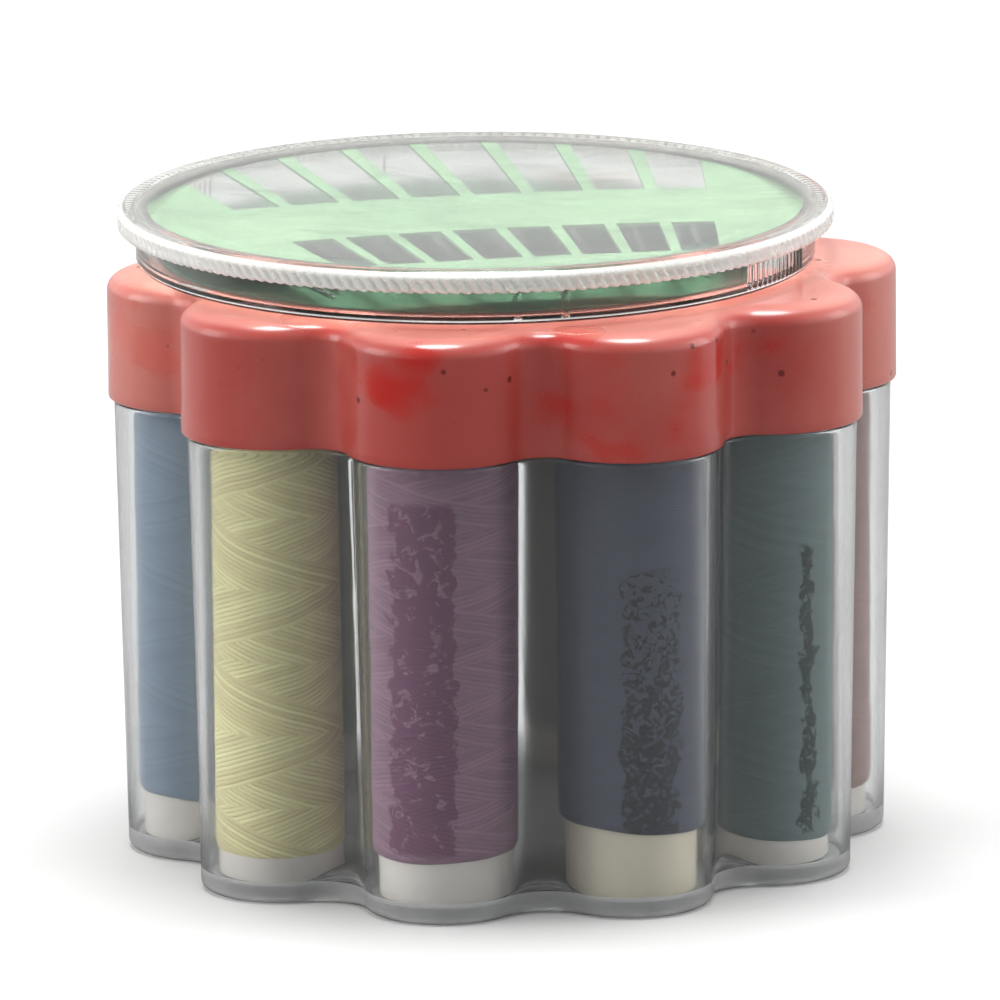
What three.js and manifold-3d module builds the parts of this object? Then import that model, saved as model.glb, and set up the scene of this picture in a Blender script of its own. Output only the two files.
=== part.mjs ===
// A sewing thread box: a clear scalloped tub with ten lobes, a thread spool standing in each lobe, a deep
// scalloped lid, and a flat round needle compact lying on the lid.
// Millimetres, +Z up. The origin is the centre of the tub's foot, on the surface that it stands on.
import * as THREE from "three";
import { mergeVertices } from "three/addons/utils/BufferGeometryUtils.js";
import Module from "manifold-3d";

// ---- driving dimensions ----
const LOBES = 10;
const LOBE_FIRST_DEG = -66; // the lobe that carries spool 0
const LOBE_CENTRE_R = 39.95; // centre of each lobe arc from the box's axis
const LOBE_R = 12.53; // lobe arc radius of the lid's outside
const VALLEY_R = 4.7; // concave arc between two lobes, lid's outside
const LOBE_STEPS = 10;
const VALLEY_STEPS = 5;

// insets are measured inwards from the lid's outside outline
const TUB_FOOT_INSET = 1.85; // the wall has draft: narrow at the foot, wide under the lid
const TUB_SHOULDER_INSET = 0.75;
const TUB_NECK_INSET = 1.3;
const TUB_NECK_INNER_INSET = 2.15;
const TUB_FLOOR_INNER_INSET = 2.75;
const TUB_FOOT_WIDTH = 1.7;
const TUB_RECESS = 0.8; // hollow under the floor, so that the tub stands on its rim
const TUB_FLOOR_Z = 2.1;
const SHOULDER_Z = 60.9;
const TUB_RIM_Z = 76.1;

const LID_SKIRT_Z = 61.2;
const LID_TOP_Z = 78.0;
const LID_TOP_THICK = 1.6;
const LID_WALL = 0.95;
const LID_EDGE = 1.7; // rounded top edge

const TUBE_R = 8.5; // spool tube, outside
const TUBE_BORE_R = 7.4;
const TUBE_LENGTH = 72;
const TUBE_SIDES = 20;
const THREAD_GAP = 0.1; // between the tube and the first layer of thread
const THREAD_TOP_BARE = 4.2; // bare tube above the thread

const COMPACT_X = -3.5; // the compact lies a little off the lid's centre
const COMPACT_Y = 3.5;
const COMPACT_SIDES = 64;
const BASE_Z = LID_TOP_Z + 0.05;
const BASE_R = 45.0;
const BASE_WALL = 1.0;
const BASE_FLOOR = 0.8;
const BASE_TOP_Z = 84.2;
const COVER_R = 47.5;
const COVER_RIM_Z = 82.6; // underside of the knurled rim
const COVER_BEVEL_Z = 84.75;
const COVER_TOP_Z = 85.6;
const COVER_PLATE = 0.85;
const COVER_RIM_INNER_R = 45.35;
const LINER_R = 42.5;
const LINER_THICK = 0.5;
const CARD_R = 43.6;
const CARD_Z = 84.3;
const CARD_THICK = 0.35;
const CARD_TURN_DEG = 11.1;
// the windows and the needles stand on the lines of a fan, whose centre lies in front of the box
const WINDOW_COLUMNS = 8;
const FAN_R = 189.6; // from the fan's centre to the card's centre
const FAN_PITCH_DEG = 2.42;
const WINDOW_HALF_DEG = 0.95;
const FRONT_ROW = [153.5, 172.5]; // each row's near and far edge, from the fan's centre
const BACK_ROW = [195, 262]; // runs out past the card's edge
const NEEDLE_R = 0.4;

// colour, bare tube below the thread, thread radius at the bottom and at the top, and the spool's shift in its lobe
const SPOOLS = [
  { name: "navy", colour: 0x3f4658, bare: 9.0, low: 9.45, high: 9.6, dx: 0, dy: 0 },
  { name: "dark_green", colour: 0x3d4a48, bare: 3.8, low: 8.95, high: 9.05, dx: -0.75, dy: 0.35 },
  { name: "mauve", colour: 0x8f7578, bare: 4.2, low: 9.05, high: 9.2, dx: -0.2, dy: 0 },
  { name: "taupe", colour: 0x83796d, bare: 5.0, low: 9.2, high: 9.3, dx: 0, dy: 0 },
  { name: "silver", colour: 0xb4b6b4, bare: 5.2, low: 9.2, high: 9.3, dx: 0, dy: 0 },
  { name: "sage", colour: 0x9aa48f, bare: 5.0, low: 9.2, high: 9.3, dx: 0, dy: 0 },
  { name: "dark_blue", colour: 0x3a4a66, bare: 4.6, low: 9.1, high: 9.25, dx: 0, dy: 0 },
  { name: "light_blue", colour: 0x6f87a3, bare: 5.9, low: 9.1, high: 9.2, dx: 0, dy: 0 },
  { name: "yellow", colour: 0xcfc98a, bare: 3.7, low: 8.9, high: 8.9, dx: 0.25, dy: 0.3 },
  { name: "purple", colour: 0x836080, bare: 5.9, low: 9.4, high: 9.65, dx: 0, dy: 0 },
];

const rad = THREE.MathUtils.degToRad;

// ---- the scalloped outline ----
// Lobe arcs stand on a circle, and a concave arc, tangent to both neighbours, joins each pair.
function scallop(inset) {
  const lobeR = LOBE_R - inset;
  const valleyR = VALLEY_R + inset;
  const half = Math.PI / LOBES;
  const b = -2 * LOBE_CENTRE_R * Math.cos(half);
  const c = LOBE_CENTRE_R ** 2 - (lobeR + valleyR) ** 2;
  const valleyCentreR = (-b + Math.sqrt(b * b - 4 * c)) / 2;
  const meet = Math.atan2(
    valleyCentreR * Math.sin(half),
    valleyCentreR * Math.cos(half) - LOBE_CENTRE_R,
  );
  const sweep = meet - half; // half of the concave arc
  const points = [];
  for (let k = 0; k < LOBES; k++) {
    const a = rad(LOBE_FIRST_DEG) + (2 * Math.PI * k) / LOBES;
    const lobe = new THREE.Vector2(Math.cos(a), Math.sin(a)).multiplyScalar(LOBE_CENTRE_R);
    for (let i = 0; i < LOBE_STEPS; i++) {
      const t = a - meet + (2 * meet * i) / LOBE_STEPS;
      points.push(new THREE.Vector2(lobe.x + lobeR * Math.cos(t), lobe.y + lobeR * Math.sin(t)));
    }
    const v = a + half;
    const valley = new THREE.Vector2(Math.cos(v), Math.sin(v)).multiplyScalar(valleyCentreR);
    for (let i = 0; i < VALLEY_STEPS; i++) {
      const t = v + Math.PI + sweep - (2 * sweep * i) / VALLEY_STEPS;
      points.push(
        new THREE.Vector2(valley.x + valleyR * Math.cos(t), valley.y + valleyR * Math.sin(t)),
      );
    }
  }
  return points;
}

// A closed shell through a list of [inset, z] rings, with a flat cap on the first ring and on the last.
// The first ring's cap faces down when `firstDown`, and up otherwise.
function scallopShell(rings, firstDown) {
  const outlines = rings.map(([inset]) => scallop(inset));
  const n = outlines[0].length;
  const position = [];
  rings.forEach(([, z], r) => outlines[r].forEach((p) => position.push(p.x, p.y, z)));
  const index = [];
  for (let r = 0; r + 1 < rings.length; r++)
    for (let i = 0; i < n; i++) {
      const j = (i + 1) % n;
      const a = r * n + i;
      const b = r * n + j;
      const c = (r + 1) * n + j;
      const d = (r + 1) * n + i;
      if (firstDown) index.push(a, b, c, a, c, d);
      else index.push(a, c, b, a, d, c);
    }
  const cap = (r, up) => {
    for (const [a, b, c] of THREE.ShapeUtils.triangulateShape(outlines[r], []))
      index.push(r * n + a, r * n + (up ? b : c), r * n + (up ? c : b));
  };
  cap(0, !firstDown);
  cap(rings.length - 1, firstDown);
  return new THREE.BufferGeometry()
    .setAttribute("position", new THREE.Float32BufferAttribute(position, 3))
    .setIndex(index);
}

// A turned piece about +Z from [radius, z] pairs.
function turned(profile, sides) {
  return new THREE.LatheGeometry(
    profile.map(([r, z]) => new THREE.Vector2(r, z)),
    sides,
  ).rotateX(Math.PI / 2);
}

// ---- booleans ----
const wasm = await Module();
wasm.setup();

function toSolid(geometry) {
  const bare = geometry.clone();
  bare.deleteAttribute("normal");
  bare.deleteAttribute("uv");
  const merged = mergeVertices(bare, 1e-4);
  return new wasm.Manifold(
    new wasm.Mesh({
      numProp: 3,
      vertProperties: new Float32Array(merged.attributes.position.array),
      triVerts: new Uint32Array(merged.index.array),
    }),
  );
}

function fromSolid(solid) {
  const mesh = solid.getMesh();
  return new THREE.BufferGeometry()
    .setAttribute("position", new THREE.BufferAttribute(new Float32Array(mesh.vertProperties), 3))
    .setIndex(new THREE.BufferAttribute(new Uint32Array(mesh.triVerts), 1));
}

function piece(name, geometry, colour, roughness, extra = {}) {
  const mesh = new THREE.Mesh(
    geometry,
    new THREE.MeshStandardMaterial({ color: colour, roughness, metalness: 0, ...extra }),
  );
  mesh.name = name;
  return mesh;
}

const box = new THREE.Group();

// ---- tub: one clear moulding, standing on a narrow foot rim ----
const tub = scallopShell(
  [
    [TUB_FOOT_INSET + TUB_FOOT_WIDTH + 0.3, TUB_RECESS],
    [TUB_FOOT_INSET + TUB_FOOT_WIDTH, 0],
    [TUB_FOOT_INSET + 0.35, 0],
    [TUB_FOOT_INSET, 0.7],
    [TUB_SHOULDER_INSET, SHOULDER_Z],
    [TUB_NECK_INSET, SHOULDER_Z],
    [TUB_NECK_INSET, TUB_RIM_Z],
    [TUB_NECK_INNER_INSET, TUB_RIM_Z],
    [TUB_FLOOR_INNER_INSET, TUB_FLOOR_Z + 0.5],
    [TUB_FLOOR_INNER_INSET + 0.5, TUB_FLOOR_Z],
  ],
  true,
);
box.add(piece("tub", tub, 0xd9dddc, 0.12, { transparent: true, opacity: 0.35 }));

// ---- lid: a deep skirt that slips over the tub's neck and stops just above its shoulder ----
const lid = scallopShell(
  [
    [LID_EDGE, LID_TOP_Z],
    [LID_EDGE * 0.3, LID_TOP_Z - LID_EDGE * 0.3],
    [0, LID_TOP_Z - LID_EDGE],
    [0, LID_SKIRT_Z],
    [LID_WALL, LID_SKIRT_Z],
    [LID_WALL, LID_TOP_Z - LID_TOP_THICK],
  ],
  false,
);
box.add(piece("lid", lid, 0xb03a30, 0.25));

// ---- ten spools ----
const tubeProfile = [
  [TUBE_BORE_R, 0],
  [TUBE_R, 0],
  [TUBE_R, TUBE_LENGTH],
  [TUBE_BORE_R, TUBE_LENGTH],
  [TUBE_BORE_R, 0],
];
SPOOLS.forEach((s, k) => {
  const a = rad(LOBE_FIRST_DEG) + (2 * Math.PI * k) / LOBES;
  const spool = new THREE.Group();
  spool.position.set(
    LOBE_CENTRE_R * Math.cos(a) + s.dx,
    LOBE_CENTRE_R * Math.sin(a) + s.dy,
    TUB_FLOOR_Z + 0.05,
  );
  const inner = TUBE_R + THREAD_GAP;
  const top = TUBE_LENGTH - THREAD_TOP_BARE;
  const thread = turned(
    [
      [inner, s.bare],
      [s.low, s.bare],
      [s.high, top - 0.8],
      [s.high - 0.35, top],
      [inner, top],
      [inner, s.bare],
    ],
    TUBE_SIDES,
  );
  spool.add(piece(`spool_tube_${s.name}`, turned(tubeProfile, TUBE_SIDES), 0xe9e4dc, 0.5));
  spool.add(piece(`thread_${s.name}`, thread, s.colour, 0.85));
  box.add(spool);
});

// ---- needle compact ----
const compact = new THREE.Group();
compact.position.set(COMPACT_X, COMPACT_Y, 0);
box.add(compact);

const clear = { transparent: true, opacity: 0.3 };
compact.add(
  piece(
    "compact_base",
    turned(
      [
        [0, BASE_Z],
        [BASE_R - 0.5, BASE_Z],
        [BASE_R, BASE_Z + 0.5],
        [BASE_R, BASE_TOP_Z],
        [BASE_R - BASE_WALL, BASE_TOP_Z],
        [BASE_R - BASE_WALL, BASE_Z + BASE_FLOOR + 0.3],
        [BASE_R - BASE_WALL - 0.3, BASE_Z + BASE_FLOOR],
        [0, BASE_Z + BASE_FLOOR],
      ],
      COMPACT_SIDES,
    ),
    0xe4e8e6,
    0.1,
    clear,
  ),
);
compact.add(
  piece(
    "compact_cover",
    turned(
      [
        [0, COVER_TOP_Z - COVER_PLATE],
        [COVER_RIM_INNER_R - 0.35, COVER_TOP_Z - COVER_PLATE],
        [COVER_RIM_INNER_R, COVER_BEVEL_Z - 0.35],
        [COVER_RIM_INNER_R, COVER_RIM_Z],
        [COVER_R - 0.25, COVER_RIM_Z],
        [COVER_R, COVER_RIM_Z + 0.25],
        [COVER_R, COVER_BEVEL_Z - 0.1],
        [COVER_R - 1.3, COVER_TOP_Z],
        [0, COVER_TOP_Z],
      ],
      COMPACT_SIDES,
    ),
    0xe8ecea,
    0.08,
    clear,
  ),
);
compact.add(
  piece(
    "needle_liner",
    turned(
      [
        [0, BASE_Z + BASE_FLOOR + 0.02],
        [LINER_R, BASE_Z + BASE_FLOOR + 0.02],
        [LINER_R, BASE_Z + BASE_FLOOR + 0.02 + LINER_THICK],
        [0, BASE_Z + BASE_FLOOR + 0.02 + LINER_THICK],
      ],
      40,
    ),
    0x3c4f45,
    0.9,
  ),
);

// The card and the needles share the card's own turned frame: the middle line of the fan is its Y.
const insert = new THREE.Group();
insert.rotation.z = rad(CARD_TURN_DEG);
compact.add(insert);

const disc = turned(
  [
    [0, CARD_Z],
    [CARD_R, CARD_Z],
    [CARD_R, CARD_Z + CARD_THICK],
    [0, CARD_Z + CARD_THICK],
  ],
  64,
);
// A block through the card between two lines of the fan.
function fanBlock(middle, [near, far]) {
  const shape = new THREE.Shape(
    [
      [-1, near],
      [1, near],
      [1, far],
      [-1, far],
    ].map(([side, r]) => {
      const angle = rad(middle + side * WINDOW_HALF_DEG);
      return new THREE.Vector2(r * Math.sin(angle), r * Math.cos(angle) - FAN_R);
    }),
  );
  return new THREE.ExtrudeGeometry(shape, { depth: 4, bevelEnabled: false }).translate(
    0,
    0,
    CARD_Z - 2,
  );
}

const column = (i) => (i - (WINDOW_COLUMNS - 1) / 2) * FAN_PITCH_DEG;
let card = toSolid(disc);
for (let i = 0; i < WINDOW_COLUMNS; i++)
  // the front row is closed all round, and the back row runs out through the card's edge
  for (const row of [FRONT_ROW, BACK_ROW]) card = card.subtract(toSolid(fanBlock(column(i), row)));
insert.add(piece("window_card", fromSolid(card), 0xc4ead0, 0.8));

// Two hand-sewing needles lie on the liner under each column of windows, points alternating.
const linerTop = BASE_Z + BASE_FLOOR + 0.02 + LINER_THICK;
for (let i = 0; i < WINDOW_COLUMNS; i++)
  for (let j = 0; j < 2; j++) {
    const length = [41, 39, 37, 35, 36, 38, 40, 42][i] - 2 * j;
    const needle = turned(
      [
        [0, -length / 2],
        [NEEDLE_R * 0.55, -length / 2 + 2.2],
        [NEEDLE_R, -length / 2 + 8],
        [NEEDLE_R, length / 2 - 3],
        [NEEDLE_R * 0.8, length / 2 - 0.4],
        [0, length / 2],
      ],
      8,
    ).rotateX((i + j) % 2 ? Math.PI / 2 : -Math.PI / 2);
    const mesh = piece(`needle_${2 * i + j + 1}`, needle, 0xc8ccd0, 0.25, { metalness: 1 });
    const line = column(i) + (j ? 0.39 : -0.39);
    const r = FAN_R - 7 + (i % 3) * 0.8 - 0.8 + j * 0.7;
    mesh.position.set(
      r * Math.sin(rad(line)),
      r * Math.cos(rad(line)) - FAN_R,
      linerTop + NEEDLE_R + 0.03,
    );
    mesh.rotation.z = rad([0.9, -1.1, 0.5, -0.4, 1.2, -0.8, 0.3, -0.6][i] * (j ? -0.6 : 1) - line);
    insert.add(mesh);
  }

export default box;
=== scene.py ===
"""The looks of the bobbin box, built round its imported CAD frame. Lengths in this file are millimetres until a mesh is made."""

import math

import bpy
import numpy as np
from mathutils import Matrix, Vector


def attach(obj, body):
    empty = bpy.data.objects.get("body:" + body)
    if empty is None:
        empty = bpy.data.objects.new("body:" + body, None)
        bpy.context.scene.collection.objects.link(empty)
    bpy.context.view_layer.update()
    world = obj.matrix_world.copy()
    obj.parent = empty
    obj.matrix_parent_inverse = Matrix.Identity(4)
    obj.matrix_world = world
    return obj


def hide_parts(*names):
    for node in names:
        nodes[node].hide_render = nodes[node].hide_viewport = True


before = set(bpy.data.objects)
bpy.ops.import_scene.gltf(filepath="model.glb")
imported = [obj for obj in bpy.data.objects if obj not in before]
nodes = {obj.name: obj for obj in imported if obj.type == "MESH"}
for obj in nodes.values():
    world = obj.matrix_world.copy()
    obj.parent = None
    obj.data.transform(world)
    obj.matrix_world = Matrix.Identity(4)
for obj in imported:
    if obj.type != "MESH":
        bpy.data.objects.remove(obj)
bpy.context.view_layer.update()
MM = 0.001
TAU = 2 * math.pi

# ---- the sizes of the CAD part ----
LOBES, LOBE_FIRST, LOBE_CENTRE_R, LOBE_R, VALLEY_R = 10, math.radians(-66), 39.95, 12.53, 4.7
LOBE_STEPS, VALLEY_STEPS = 36, 20
COMPACT = np.array([-3.5, 3.5, 0.0])
CARD_TURN = math.radians(11.1)
FAN_R, FAN_PITCH = 189.6, math.radians(2.42)  # the needles lie on the lines of a fan
TUBE_R, TUBE_BORE_R, TUBE_LENGTH, TUBE_Z = 8.5, 7.4, 72.0, 2.15
THREAD_IN, THREAD_TOP = 8.6, 67.8
# name, bare tube, thread radius low and high, shift, linear colour, traverse lead, strand pitch, strand depth
SPOOLS = [
    ("navy", 9.0, 9.45, 9.6, 0, 0, (0.066, 0.080, 0.122), 17.0, 0.42, 0.04),
    ("dark_green", 3.8, 8.95, 9.05, -0.75, 0.35, (0.145, 0.21, 0.21), 15.5, 0.43, 0.04),
    ("mauve", 4.2, 9.05, 9.2, -0.2, 0, (0.37, 0.25, 0.23), 16.5, 0.45, 0.05),
    ("taupe", 5.0, 9.2, 9.3, 0, 0, (0.23, 0.19, 0.15), 18.0, 0.46, 0.11),
    ("silver", 5.2, 9.2, 9.3, 0, 0, (0.45, 0.46, 0.45), 16.0, 0.44, 0.11),
    ("sage", 5.0, 9.2, 9.3, 0, 0, (0.32, 0.37, 0.28), 17.5, 0.47, 0.11),
    ("dark_blue", 4.6, 9.1, 9.25, 0, 0, (0.042, 0.069, 0.133), 15.0, 0.52, 0.06),
    ("light_blue", 5.9, 9.1, 9.2, 0, 0, (0.24, 0.32, 0.42), 16.0, 0.45, 0.02),
    ("yellow", 3.7, 8.9, 8.9, 0.25, 0.3, (0.99, 0.83, 0.44), 19.5, 0.63, 0.13),
    ("purple", 5.9, 9.4, 9.65, 0, 0, (0.30, 0.155, 0.24), 14.6, 0.62, 0.06),
]


# ---- meshes ----
def mesh_of(name, points, faces, sharp=None, attributes=None):
    """An object from points in millimetres and a list of face arrays, each (count, corners)."""
    me = bpy.data.meshes.new(name)
    points = np.asarray(points, np.float64).reshape(-1, 3) * MM
    me.vertices.add(len(points))
    me.vertices.foreach_set("co", points.astype(np.float32).ravel())
    faces = [np.asarray(f, np.int32) for f in faces if len(f)]
    loops = np.concatenate([f.ravel() for f in faces])
    sizes = np.concatenate([np.full(len(f), f.shape[1], np.int32) for f in faces])
    starts = np.concatenate([[0], np.cumsum(sizes)[:-1]]).astype(np.int32)
    me.loops.add(len(loops))
    me.loops.foreach_set("vertex_index", loops)
    me.polygons.add(len(sizes))
    me.polygons.foreach_set("loop_start", starts)
    me.update(calc_edges=True)
    me.polygons.foreach_set("use_smooth", np.ones(len(sizes), bool))
    for key, (kind, values) in (attributes or {}).items():
        layer = me.attributes.new(key, kind, "POINT")
        layer.data.foreach_set(
            "vector" if kind == "FLOAT_VECTOR" else "value",
            np.ascontiguousarray(values, np.float32).ravel(),
        )
    if sharp:
        me.set_sharp_from_angle(angle=math.radians(sharp))
    me.validate()
    ob = bpy.data.objects.new(name, me)
    bpy.context.scene.collection.objects.link(ob)
    return ob


def skin(rings, close=False, cap_first=False, cap_last=False):
    """Points and faces of a surface through rings (rows, columns, 3). Rings run anticlockwise seen from above; a shell's rings run from its underside outwards, up and back in."""
    rings = np.asarray(rings, float)
    m, n = rings.shape[:2]
    points = rings.reshape(-1, 3)
    r = np.arange(m if close else m - 1)[:, None]
    i = np.arange(n)[None, :]
    j = (i + 1) % n
    up = (r + 1) % m
    quads = np.stack(
        [r * n + i, r * n + j, up * n + j, up * n + i], axis=-1
    ).reshape(-1, 4)
    triangles = []
    i, j = np.arange(n), (np.arange(n) + 1) % n
    if cap_first:
        points = np.vstack([points, rings[0].mean(0)])
        triangles.append(np.stack([np.full(n, len(points) - 1), j, i], axis=-1))
    if cap_last:
        points = np.vstack([points, rings[-1].mean(0)])
        base = (m - 1) * n
        triangles.append(
            np.stack([np.full(n, len(points) - 1), base + i, base + j], axis=-1)
        )
    return points, [quads, *triangles]


def scallop(inset):
    """The scalloped outline moved inwards by inset, (columns, 2)."""
    lobe_r, valley_r, half = LOBE_R - inset, VALLEY_R + inset, math.pi / LOBES
    b = -2 * LOBE_CENTRE_R * math.cos(half)
    c = LOBE_CENTRE_R**2 - (lobe_r + valley_r) ** 2
    d = (-b + math.sqrt(b * b - 4 * c)) / 2
    meet = math.atan2(d * math.sin(half), d * math.cos(half) - LOBE_CENTRE_R)
    sweep = meet - half
    a = LOBE_FIRST + TAU * np.arange(LOBES)[:, None] / LOBES
    t = a - meet + 2 * meet * np.arange(LOBE_STEPS)[None, :] / LOBE_STEPS
    lobe = np.stack(
        [
            LOBE_CENTRE_R * np.cos(a) + lobe_r * np.cos(t),
            LOBE_CENTRE_R * np.sin(a) + lobe_r * np.sin(t),
        ],
        axis=-1,
    )
    v = a + half
    t = v + math.pi + sweep - 2 * sweep * np.arange(VALLEY_STEPS)[None, :] / VALLEY_STEPS
    valley = np.stack(
        [d * np.cos(v) + valley_r * np.cos(t), d * np.sin(v) + valley_r * np.sin(t)],
        axis=-1,
    )
    return np.concatenate([lobe, valley], axis=1).reshape(-1, 2)


OUTSIDE = 0.07  # the fine lobes stay inside the CAD part's faceted ones
INSETS = np.arange(0, 8.01, 0.05)
OUTLINES = np.stack([scallop(x) for x in INSETS])
# 0 over the lobes, 1 in the middle of each valley
IN_VALLEY = np.tile(
    np.concatenate(
        [
            np.zeros(LOBE_STEPS),
            0.5 - 0.5 * np.cos(TAU * np.arange(VALLEY_STEPS) / VALLEY_STEPS),
        ]
    ),
    LOBES,
)


def scallop_ring(inset, z):
    """One ring of the scalloped loft. inset and z are numbers, or one number for each column."""
    n = OUTLINES.shape[1]
    inset = np.broadcast_to(np.asarray(inset, float), n) + OUTSIDE
    at = np.clip(inset / 0.05, 0, len(INSETS) - 1.001)
    k = at.astype(int)
    f = (at - k)[:, None]
    col = np.arange(n)
    xy = OUTLINES[k, col] * (1 - f) + OUTLINES[k + 1, col] * f
    return np.column_stack([xy, np.broadcast_to(np.asarray(z, float), n)])


def shrunk(ring, share, z=None):
    out = ring * np.array([share, share, 1.0])
    if z is not None:
        out[:, 2] = z
    return out


def lathe(profile, sides=None, angles=None, centre=(0, 0)):
    """Rings turned about +Z from (radius, z) pairs. Each radius or z may be an array over the angles."""
    th = np.arange(sides) * TAU / sides if angles is None else np.asarray(angles)
    rows = []
    for r, z in profile:
        r = np.broadcast_to(np.asarray(r, float), len(th))
        z = np.broadcast_to(np.asarray(z, float), len(th))
        rows.append(
            np.column_stack([centre[0] + r * np.cos(th), centre[1] + r * np.sin(th), z])
        )
    return np.stack(rows)


# ---- materials ----
def new_material(name):
    m = bpy.data.materials.new(name)
    m.use_nodes = True
    t = m.node_tree
    t.nodes.clear()
    return m, t


def N(t, kind, ins=None, **props):
    n = t.nodes.new("ShaderNode" + kind)
    for k, v in props.items():
        setattr(n, k, v)
    for k, v in (ins or {}).items():
        s = n.inputs[k]
        if isinstance(v, bpy.types.NodeSocket):
            t.links.new(v, s)
        else:
            s.default_value = v
    return n


def rgba(c):
    return (c[0], c[1], c[2], 1.0)


def coords(t, stretch=None):
    c = N(t, "TexCoord").outputs["Object"]
    if stretch:
        c = N(t, "Mapping", {"Vector": c, "Scale": stretch}).outputs["Vector"]
    return c


def noise(t, vector, scale, detail=3.0, rough=0.55, distortion=0.0):
    return N(
        t,
        "TexNoise",
        {
            "Vector": vector,
            "Scale": scale,
            "Detail": detail,
            "Roughness": rough,
            "Distortion": distortion,
        },
    ).outputs["Fac"]


def ramp(t, value, low, high, out_low=0.0, out_high=1.0, smooth=True):
    n = N(
        t,
        "MapRange",
        {
            "Value": value,
            "From Min": low,
            "From Max": high,
            "To Min": out_low,
            "To Max": out_high,
        },
    )
    n.interpolation_type = "SMOOTHSTEP" if smooth else "LINEAR"
    n.clamp = True
    return n.outputs["Result"]


def mixed(t, fac, a, b, blend="MIX"):
    return N(
        t, "MixRGB", {"Fac": fac, "Color1": a, "Color2": b}, blend_type=blend
    ).outputs["Color"]


def maths(t, op, a, b=0.0):
    n = N(t, "Math", {0: a, 1: b}, operation=op)
    return n.outputs["Value"]


def bump(t, height, strength, distance, normal=None):
    ins = {"Height": height, "Strength": strength, "Distance": distance}
    if normal is not None:
        ins["Normal"] = normal
    return N(t, "Bump", ins).outputs["Normal"]


def principled(t, ins):
    return N(t, "BsdfPrincipled", ins).outputs["BSDF"]


def output(t, surface):
    N(t, "OutputMaterial", {"Surface": surface})


def clear_plastic(name, tint, shadow, transmission, wave, haze_low, haze_high, edge=0.6, ior=1.5):
    """Clear moulded plastic: lamps pass through it, its haze and its flow marks vary slowly, and handling has left fine scuffs."""
    m, t = new_material(name)
    c = coords(t)
    flow = noise(t, coords(t, (1, 1, 0.25)), 90, 3, 0.5, 0.6)
    dust = noise(t, c, 2600, 2, 0.6)
    scuff = noise(t, coords(t, (1, 1, 0.12)), 1500, 3, 0.6)
    tone = mixed(
        t,
        ramp(t, flow, 0.35, 0.7),
        rgba(tint),
        rgba([x * 0.93 for x in tint]),
    )
    # the wall looks greyer where it turns away, since more plastic lies in the way
    facing = N(t, "LayerWeight", {"Blend": 0.5}).outputs["Facing"]
    tone = mixed(t, ramp(t, facing, 0.25, 1.0, 0.0, 1.0), tone, rgba([x * edge for x in tint]))
    rough = maths(
        t,
        "ADD",
        ramp(t, flow, 0.3, 0.75, haze_low, haze_high),
        ramp(t, dust, 0.6, 0.75, 0.0, 0.035),
    )
    normal = bump(t, flow, 0.35, wave)
    normal = bump(t, scuff, 0.10, 0.00003, normal)
    glass = principled(
        t,
        {
            "Base Color": tone,
            "Roughness": rough,
            "IOR": ior,
            "Transmission Weight": transmission,
            "Normal": normal,
        },
    )
    through = N(t, "BsdfTransparent", {"Color": rgba(shadow)}).outputs["BSDF"]
    lamps = N(t, "LightPath").outputs["Is Shadow Ray"]
    mix = N(t, "MixShader", {0: lamps, 1: glass, 2: through}).outputs["Shader"]
    output(t, mix)
    return m


def frosted(name, light, transmission, scatter, rough=0.24):
    """The same clear plastic where fine teeth or a matt mould have whitened it."""
    m, t = new_material(name)
    cloud = noise(t, coords(t), 260, 3, 0.6)
    soft = noise(t, coords(t), 90, 3, 0.5)
    output(
        t,
        principled(
            t,
            {
                "Base Color": mixed(t, ramp(t, cloud, 0.3, 0.7), rgba(light), rgba([x * 0.92 for x in light])),
                "Roughness": ramp(t, cloud, 0.3, 0.7, rough, rough + 0.08, False),
                "IOR": 1.5,
                "Transmission Weight": transmission,
                "Subsurface Weight": scatter,
                "Subsurface Radius": (0.003, 0.003, 0.003),
                "Normal": bump(t, soft, 0.2, 0.0002),
            },
        ),
    )
    return m


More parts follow.
